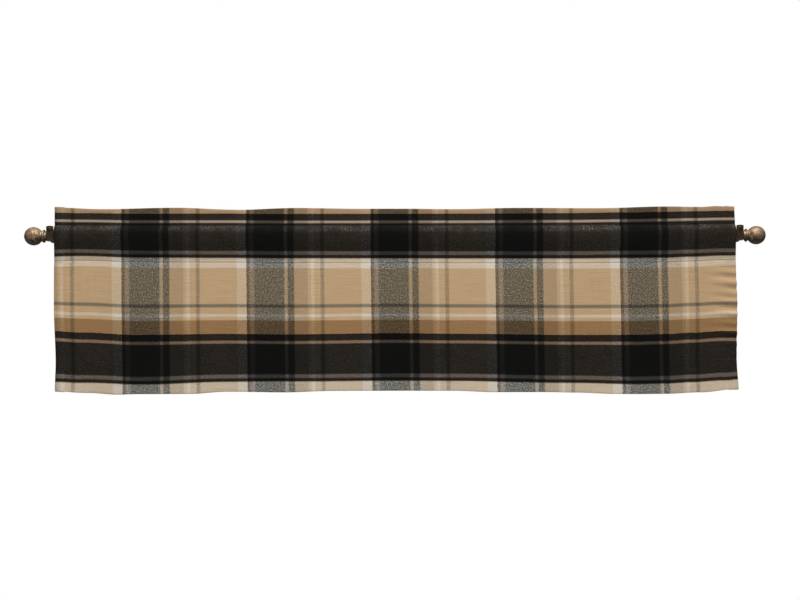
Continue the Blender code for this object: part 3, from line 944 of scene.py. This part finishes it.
@dataclass
class ValanceCloth:
    """The hanging cloth: one sheet with a header, a rod pocket, a hem and two side hems."""

    thickness: float = 1.2 * MM
    layer_gap: float = 0.8 * MM
    header_top: float = 61.0 * MM
    header_seam: float = 23.5 * MM
    pocket_seam: float = -54.5 * MM
    seam_height: float = 2.5 * MM
    hem_foot: float = -350.0 * MM
    hem_seam: float = -318.0 * MM
    turned_edge: float = 6.0 * MM
    side_hem: float = 21.0 * MM
    side_hem_step: float = 1.5 * MM
    side_stitch: float = 2.0 * MM
    edge_round: float = 1.2 * MM
    panel_belly: float = 0.6 * MM
    front_crest: float = 5.0 * MM
    front_slack: float = 1.4 * MM
    front_bow: float = 1.3
    back_bow: float = 2.2
    shoulder_power: float = 0.7
    header_lean: float = 1.1 * MM
    uneven_fullness: float = 0.7 * MM
    right_ripple: float = 1.6 * MM
    left_ripple: float = 0.7 * MM
    unevenness: float = 0.5 * MM
    row_step: float = 3.8 * MM
    station_step: float = 5.2 * MM
    finish: PlaidCloth = field(default_factory=PlaidCloth)

    def __post_init__(self) -> None:
        """Take the rod's place and the cloth's width from the frame."""
        low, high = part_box("rod")
        self.axis_y = (low.y + high.y) / 2
        self.rod_radius = (high.y - low.y) / 2
        self.half_width = -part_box("valance_cloth")[0].x
        self.stand_off = self.rod_radius + 0.5 * MM + self.thickness / 2
        self.rest = (self.layer_gap + self.thickness) / 2

    def heights(self, start: float, stop: float) -> np.ndarray:
        """Space rows evenly from one height to another, without the two ends."""
        count = max(2, round(abs(stop - start) / self.row_step))
        return np.linspace(start, stop, count + 1)[1:-1]

    def pocket_layer(self, z: float, crest: float, slack: float, bow: float) -> float:
        """Find how far a pocket layer stands from the rod's plane.

        Args:
            z: height over the rod's axis.
            crest: height at which the layer is fullest.
            slack: how much fuller than the rod it is there.
            bow: power that bows the layer below its crest; 1 is straight.

        Returns:
            The distance from the plane.
        """
        reach = self.stand_off - self.rest + slack
        if z >= crest:
            share = (z - crest) / (self.header_seam - crest)
            return self.rest + reach * max(1.0 - share**2, 0.0) ** self.shoulder_power
        share = (z - crest) / (self.pocket_seam - crest)
        return self.rest + reach * (1.0 - share**bow)

    def panel_depth(self, z: float) -> float:
        """Find how far the front panel stands before the rod's plane, with its slight belly."""
        share = (z - self.pocket_seam) / (self.hem_foot - self.pocket_seam)
        return self.rest + self.panel_belly * math.sin(math.pi * min(max(share, 0.0), 1.0))

    def section(self) -> ClothRows:
        """Lay out the sheet's path from its turned edge behind the pocket to the hem's edge.

        Returns:
            The rows of the section.
        """
        rows = ClothRows()
        rest = self.rest
        seam_top = self.header_seam + self.seam_height
        pocket_foot = self.pocket_seam - self.seam_height
        fold_top = self.header_top - rest - self.thickness / 2
        # Back of the pocket, from its turned edge up to the header's seam.
        rows.add(-rest, pocket_foot - self.turned_edge, extra=self.thickness)
        rows.add(-rest, pocket_foot - self.turned_edge / 2, extra=self.thickness)
        rows.add(-rest, pocket_foot, extra=self.thickness)
        rows.mark("pocket_back")
        rows.add(-rest, self.pocket_seam, extra=self.thickness)
        for z in self.heights(self.pocket_seam, self.header_seam):
            rows.add(-self.pocket_layer(z, 0.0, 0.0, self.back_bow), z)
        rows.add(-rest, self.header_seam)
        rows.mark("header_back")
        rows.add(-rest, seam_top)
        for z in self.heights(seam_top, fold_top):
            rows.add(-rest, z)
        # Over the top fold.
        for degrees in range(180, -1, -30):
            angle = math.radians(degrees)
            rows.add(rest * math.cos(angle), fold_top + rest * math.sin(angle))
            if degrees == 90:
                rows.mark("fold")
        # Front of the header and of the pocket.
        for z in self.heights(fold_top, seam_top):
            rows.add(rest, z)
        rows.add(rest, seam_top)
        rows.mark("header_front")
        rows.add(rest, self.header_seam)
        for z in self.heights(self.header_seam, self.pocket_seam):
            depth = self.pocket_layer(z, self.front_crest, self.front_slack, self.front_bow)
            rows.add(depth, z)
        rows.add(rest, self.pocket_seam)
        rows.mark("pocket_front")
        rows.add(rest, pocket_foot)
        # Panel down to the hem.
        hem_head = self.hem_seam + self.turned_edge
        for z in self.heights(pocket_foot, hem_head + 1.0 * MM):
            rows.add(self.panel_depth(z), z, wrong_side=1.0)
        rows.add(self.panel_depth(hem_head), hem_head)
        rows.add(self.panel_depth(self.hem_seam), self.hem_seam)
        rows.mark("hem_front")
        hem_seam_foot = self.hem_seam - self.seam_height
        rows.add(self.panel_depth(hem_seam_foot), hem_seam_foot)
        fold_foot = self.hem_foot + rest + self.thickness / 2
        for z in self.heights(hem_seam_foot, fold_foot):
            rows.add(self.panel_depth(z), z)
        # Round the foot and up the back of the hem.
        centre = self.panel_depth(fold_foot) - rest
        for degrees in range(0, -181, -30):
            angle = math.radians(degrees)
            rows.add(centre + rest * math.cos(angle), fold_foot + rest * math.sin(angle))
        for z in self.heights(fold_foot, hem_seam_foot):
            rows.add(self.panel_depth(z) - 2 * rest, z)
        rows.add(self.panel_depth(hem_seam_foot) - 2 * rest, hem_seam_foot)
        rows.mark("hem_back")
        rows.add(self.panel_depth(self.hem_seam) - 2 * rest, self.hem_seam)
        rows.add(self.panel_depth(hem_head) - 2 * rest, hem_head, extra=self.thickness)
        return rows

    def stations(self) -> tuple[np.ndarray, np.ndarray, np.ndarray]:
        """Space the sections over the width.

        Returns:
            x of each section, its share of a side hem, and how full its thickness is.
        """
        half, inner = self.half_width, self.half_width - self.side_hem
        flat = inner - self.side_hem_step
        rounding = [self.edge_round * share for share in (0.0, 0.12, 0.4, 1.0)]
        edge = [half - inset for inset in rounding]
        edge += list(np.linspace(half - self.edge_round, inner, 6)[1:])
        count = round(2 * flat / self.station_step)
        right = np.array(edge)
        x = np.concatenate([-right, np.linspace(-flat, flat, count), right[::-1]])
        hem = (np.abs(x) > flat + 0.1 * MM).astype(float)
        inset = np.clip((half - np.abs(x)) / self.edge_round, 0.0, 1.0)
        full = np.maximum(np.sqrt(1.0 - (1.0 - inset) ** 2), 0.12)
        return x, hem, full

    def waves(self, seed: int, x: np.ndarray, lengths: tuple[float, ...]) -> np.ndarray:
        """Sum a few waves of uneven size along the rod.

        Args:
            seed: sets where the waves start and how strong each is.
            x: where to read them.
            lengths: their lengths.

        Returns:
            A smooth uneven value between about -1 and 1.
        """
        random = np.random.default_rng(seed)
        total = np.zeros_like(x)
        for length in lengths:
            strength = random.uniform(0.6, 1.0)
            slow = 0.6 * np.sin(2 * np.pi * x / (length * 5.3) + random.uniform(0, 6.28))
            total += strength * np.sin(2 * np.pi * x / length + random.uniform(0, 6.28) + slow)
        return total / len(lengths)

    def drape(self, x: np.ndarray, d: np.ndarray, z: np.ndarray) -> tuple[np.ndarray, np.ndarray]:
        """Carry the flat hanging sheet to where its folds and puckers are.

        Args:
            x: distance along the rod.
            d: distance in front of the rod's plane.
            z: height over the rod's axis.

        Returns:
            The points, and how far each was lifted.
        """
        length = self.pocket_seam - self.hem_foot
        down = np.clip((self.pocket_seam - z) / length, 0.0, 1.0)
        fall = down * (0.35 + 0.65 * down)
        swing = np.zeros_like(x)
        for centre, half_width, depth in SOFT_FOLDS:
            share = np.clip(np.abs(x - centre) / half_width, 0.0, 1.0)
            swing += depth * (0.5 + 0.5 * np.cos(np.pi * share))
        forward = d + swing * fall
        edge = x / self.half_width
        below = z < self.pocket_seam

        # Puckers drawn in by the stitching, which fade away from each seam.
        gather = self.waves(11, x, (0.017, 0.026, 0.041))
        fine = self.waves(12, x, (0.013, 0.021, 0.034))
        for seam, reach, size, wave in (
            (self.header_seam + self.seam_height / 2, 12 * MM, 0.35 * MM, gather),
            (self.pocket_seam - self.seam_height / 2, 15 * MM, 0.45 * MM, fine),
            (self.hem_seam - self.seam_height / 2, 14 * MM, 0.30 * MM, gather),
        ):
            off = np.abs(z - seam)
            near = np.exp(-off / reach) * smooth(off / (3 * MM))
            forward += size * wave * near * np.where(np.abs(d) > 2 * self.rest, np.sign(d), 1.0)

        # The header leans to and fro, and the pocket is fuller in some places than in others.
        up = smooth((z - self.header_seam) / (self.header_top - self.header_seam))
        forward += self.header_lean * self.waves(21, x, (0.085, 0.140, 0.230)) * up
        inside = between(z, self.header_seam, 20 * MM, self.pocket_seam, 20 * MM)
        fuller = 0.5 + 0.5 * self.waves(22, x, (0.048, 0.075, 0.120))
        forward += np.sign(d) * self.uneven_fullness * fuller * inside

        # Side hems pull: level ripples at the right edge, hanging ones at the left.
        right = np.exp(-(((self.half_width - x) / (40 * MM)) ** 2))
        right *= between(z, -50 * MM, 30 * MM, -310 * MM, 80 * MM)
        ripple = np.sin(2 * np.pi * (z + 0.12 * x) / 0.023)
        ripple += 0.5 * np.sin(2 * np.pi * z / 0.037 + 1.0)
        forward += self.right_ripple * right * ripple * below
        left = np.exp(-(self.half_width + x) / (40 * MM))
        left *= between(z, -50 * MM, 25 * MM, -330 * MM, 100 * MM)
        forward += self.left_ripple * left * np.sin(2 * np.pi * (x + 0.06 * z) / 0.0165) * below

        # Slow unevenness of the panel.
        slow = self.waves(31, x + 0.15 * z, (0.062, 0.094, 0.150)) * np.sin(np.pi * down) ** 0.5
        forward += self.unevenness * slow * below

        sideways = (3.7 * MM + 2.8 * MM * edge) * down
        sideways += read_curve(LEFT_EDGE, z) * np.clip(-edge, 0, 1) ** 6
        sideways += read_curve(RIGHT_EDGE, z) * np.clip(edge, 0, 1) ** 6
        height_share = (z - self.hem_foot) / (self.header_top - self.hem_foot)
        lift = read_curve(FOOT_RISE, x) * (1.0 - 0.75 * height_share) * (0.15 + 0.85 * down)
        lift += read_curve(HEADER_RISE, x) * up
        points = np.stack([x + sideways, self.axis_y - forward, z + lift], axis=-1)
        return points, lift

    def stripe_rise(self, x: np.ndarray, z: np.ndarray) -> np.ndarray:
        """Find how far the cross stripes rise above level at a place, in metres."""
        columns = [read_curve(STRIPE_RISE, x, column) * MM for column in (4, 3, 2, 1)]
        levels = np.array(STRIPE_LEVELS)
        index = np.clip(np.searchsorted(levels, z) - 1, 0, len(levels) - 2)
        share = np.clip((z - levels[index]) / (levels[index + 1] - levels[index]), 0.0, 1.0)
        stacked = np.stack(columns)
        low = np.take_along_axis(stacked, index[None], 0)[0]
        high = np.take_along_axis(stacked, index[None] + 1, 0)[0]
        return low + (high - low) * share

    def build(self) -> bpy.types.Object:
        """Build the closed sheet, with its flat cloth places stored on its points.

        Returns:
            The cloth's object.
        """
        rows = self.section()
        x, hem, full = self.stations()
        depth, height = np.array(rows.depth), np.array(rows.height)
        path = np.stack([depth, height], axis=1)
        along = np.gradient(path, axis=0)
        along /= np.linalg.norm(along, axis=1, keepdims=True)
        outwards = np.stack([-along[:, 1], along[:, 0]], axis=1)
        wrong = np.array(rows.wrong_side)
        half = self.thickness / 2
        right = half + np.array(rows.extra) + np.outer(hem, 1.0 - wrong) * self.thickness
        under = half + np.outer(hem, wrong) * self.thickness
        shape = (len(x), len(depth))
        grid_x = np.broadcast_to(x[:, None], shape)
        skins = []
        for offset in (right * full[:, None], -under * full[:, None]):
            d = depth[None] + outwards[None, :, 0] * offset
            z = height[None] + outwards[None, :, 1] * offset
            skins.append(self.drape(grid_x, d, z))
        lift = self.drape(grid_x, np.broadcast_to(depth, shape), np.broadcast_to(height, shape))[1]
        place = self.flat_places(rows, grid_x, lift)
        points = np.concatenate([skins[0][0], skins[1][0]], axis=1)
        made = self.mesh(rows, points, np.tile(place, (1, 2, 1)))
        cloth = bpy.data.objects.new("plaid_valance", made)
        bpy.context.scene.collection.objects.link(cloth)
        log.info("plaid_valance: %d sections of %d rows", *shape)
        return cloth

    def flat_places(self, rows: ClothRows, x: np.ndarray, lift: np.ndarray) -> np.ndarray:
        """Work out where each point lies on the flat cloth, in millimetres.

        Args:
            rows: the section.
            x: the points' x, one row of the array for each section.
            lift: how far each point was lifted.

        Returns:
            Place across, place along and 0, for each point.
        """
        along = rows.lengths()
        facing = np.clip(np.array(rows.depth) / self.rest, -1.0, 1.0)
        facing[rows.marks["hem_front"] :] = 1.0
        z = np.broadcast_to(np.array(rows.height), lift.shape)
        bow = (self.stripe_rise(x, z) - lift) * facing
        places = np.stack([x, along[None] + bow, np.zeros_like(x)], axis=-1)
        return places / MM

    def mesh(self, rows: ClothRows, points: np.ndarray, places: np.ndarray) -> bpy.types.Mesh:
        """Skin the sections.

        Args:
            rows: the section, with its stitched rows marked.
            points: for each section, its outer points and then its inner ones.
            places: the flat place of each point.

        Returns:
            The closed mesh.
        """
        count = len(rows.depth)
        quads = [(i, i + 1, count + i + 1, count + i) for i in range(count - 1)]
        marks = rows.marks
        for back, front in (
            (marks["header_back"], marks["header_front"]),
            (marks["pocket_back"], marks["pocket_front"]),
            (marks["hem_back"], marks["hem_front"]),
        ):
            quads.append((count + back, count + back + 1, count + front, count + front + 1))
        uses: dict[frozenset[int], list[tuple[int, int]]] = {}
        for quad in quads:
            for pair in zip(quad, quad[1:] + quad[:1]):
                uses.setdefault(frozenset(pair), []).append(pair)
        skin = np.array([pairs[0] for pairs in uses.values() if len(pairs) == 1])
        step = 2 * count
        starts = np.arange(len(points) - 1)[:, None] * step
        first, second = skin[None, :, 0] + starts, skin[None, :, 1] + starts
        sides = np.stack([first, second, second + step, first + step], axis=-1).reshape(-1, 4)
        ends = np.array(quads)
        last = (len(points) - 1) * step
        faces = np.concatenate([sides, ends, ends[:, ::-1] + last])
        made = bpy.data.meshes.new("plaid_valance")
        made.from_pydata(points.reshape(-1, 3).tolist(), [], faces.tolist())
        attribute = made.attributes.new("flat_place", "FLOAT_VECTOR", "POINT")
        attribute.data.foreach_set("vector", places.reshape(-1).astype(np.float32))
        made.validate()
        made.shade_smooth()
        made.set_sharp_from_angle(angle=math.radians(60))
        return made

    def dress(self, cloth: bpy.types.Object) -> None:
        """Args:
            cloth: the cloth's object.
        """
        rows = self.section()
        along = rows.lengths() / MM
        half_seam = self.seam_height / MM / 2
        seams = [along[i] + half_seam for name, i in rows.marks.items() if name != "fold"]
        inset = (self.half_width - self.side_hem + self.side_stitch) / MM
        cloth.data.materials.append(self.finish.material(tuple(seams), (-inset, inset)))
        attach(cloth, "root")
        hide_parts("valance_cloth")


# ---------------------------------------------------------------- hardware


@dataclass
class Hardware:
    """The rod with its finials, and the two brackets, which keep their own meshes."""

    brass_pieces: tuple[str, ...] = ("finial_left", "finial_right")
    bronze_pieces: tuple[str, ...] = (
        "rod",
        "cradle_left",
        "cradle_right",
        "keeper_screw_left",
        "keeper_screw_right",
        "arm_left",
        "arm_right",
        "wall_plate_left",
        "wall_plate_right",
    )

    def dress(self, nodes: dict[str, bpy.types.Object]) -> None:
        """Give every metal piece its finish.

        Args:
            nodes: the frame's pieces by name.
        """
        for finish, names, slot in (
            (ANTIQUE_BRASS, self.brass_pieces, "antique_brass"),
            (DARK_BRONZE, self.bronze_pieces, "dark_bronze"),
        ):
            material = finish.material()
            for name in names:
                piece = nodes[name]
                piece.data.materials.clear()
                piece.data.materials.append(material)
                piece.data.shade_smooth()
                piece.data.set_sharp_from_angle(angle=math.radians(35))
                log.info("%s: %s", name, finish.name)


# ---------------------------------------------------------------- studio


@dataclass
class Studio:
    """Floor, lights and camera."""

    floor_height: float = -1.45
    floor_size: tuple[float, float] = (9.0, 7.2)
    floor_centre_y: float = -1.3
    camera_away: float = 2.6
    camera_side: float = 11.2 * MM
    camera_drop: float = 143.8 * MM
    camera_roll: float = math.radians(0.0875)
    lens: float = 52.3
    key_place: tuple[float, float, float] = (0.0, -1.45, 2.55)
    key_aim: tuple[float, float, float] = (0.0, -0.064, -0.14)
    key_size: tuple[float, float] = (2.2, 1.2)
    key_power: float = 135.0
    glow_below: float = 0.08
    glow_above: float = 0.42

    def build_floor(self) -> None:
        """Add the pale floor."""
        width, depth = self.floor_size
        made = bpy.data.meshes.new("floor")
        corners = [(-1, -1), (1, -1), (1, 1), (-1, 1)]
        points = [(x * width / 2, y * depth / 2, 0.0) for x, y in corners]
        made.from_pydata(points, [], [(0, 1, 2, 3)])
        floor = bpy.data.objects.new("floor", made)
        floor.location = (0.0, self.floor_centre_y, self.floor_height)
        bpy.context.scene.collection.objects.link(floor)
        paper = bpy.data.materials.new("pale_floor")
        paper.use_nodes = True
        shader = paper.node_tree.nodes["Principled BSDF"]
        shader.inputs["Base Color"].default_value = (0.72, 0.71, 0.70, 1.0)
        shader.inputs["Roughness"].default_value = 0.9
        made.materials.append(paper)

    def build_world(self) -> None:
        """Light the surroundings softly from above, and show them as plain white."""
        world = bpy.data.worlds.new("studio")
        bpy.context.scene.world = world
        world.use_nodes = True
        graph = Graph(world.node_tree)
        background = world.node_tree.nodes["Background"]
        parts = graph.node("ShaderNodeSeparateXYZ")
        graph.feed(parts.inputs[0], graph.node("ShaderNodeTexCoord").outputs["Generated"])
        glow = graph.remap(parts.outputs[2], -0.4, 0.9, self.glow_below, self.glow_above)
        seen = graph.node("ShaderNodeLightPath").outputs["Is Camera Ray"]
        colour = graph.blend(seen, graph.vector(glow, glow, glow), (1.0, 1.0, 1.0))
        graph.feed(background.inputs["Color"], colour)

    def build_lights(self) -> None:
        """Hang the softbox high in front."""
        lamp = bpy.data.lights.new("softbox", "AREA")
        lamp.shape = "RECTANGLE"
        lamp.size, lamp.size_y = self.key_size
        lamp.energy = self.key_power
        lamp.color = (1.0, 0.99, 0.97)
        key = bpy.data.objects.new("softbox", lamp)
        key.location = self.key_place
        aim = Vector(self.key_aim) - key.location
        key.rotation_euler = aim.to_track_quat("-Z", "Y").to_euler()
        bpy.context.scene.collection.objects.link(key)

    def build_camera(self, axis_y: float) -> None:
        """Stand the camera level, square to the rod.

        Args:
            axis_y: the rod's distance from the wall.
        """
        data = bpy.data.cameras.new("camera")
        data.lens = self.lens
        data.sensor_width = 36.0
        camera = bpy.data.objects.new("camera", data)
        camera.location = (self.camera_side, axis_y - self.camera_away, -self.camera_drop)
        camera.rotation_euler = Euler((math.radians(90), self.camera_roll, 0.0))
        bpy.context.scene.collection.objects.link(camera)
        bpy.context.scene.camera = camera
        bpy.context.scene.view_settings.view_transform = "Standard"


def main() -> None:
    """Build every piece, dress it and set up the studio."""
    logging.basicConfig(level=logging.INFO, format="%(name)s: %(message)s")
    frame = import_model()
    valance = ValanceCloth()
    cloth = valance.build()
    valance.dress(cloth)
    Hardware().dress(frame["nodes"])
    studio = Studio()
    studio.build_floor()
    studio.build_world()
    studio.build_lights()
    studio.build_camera(valance.axis_y)


if __name__ == "__main__":
    main()
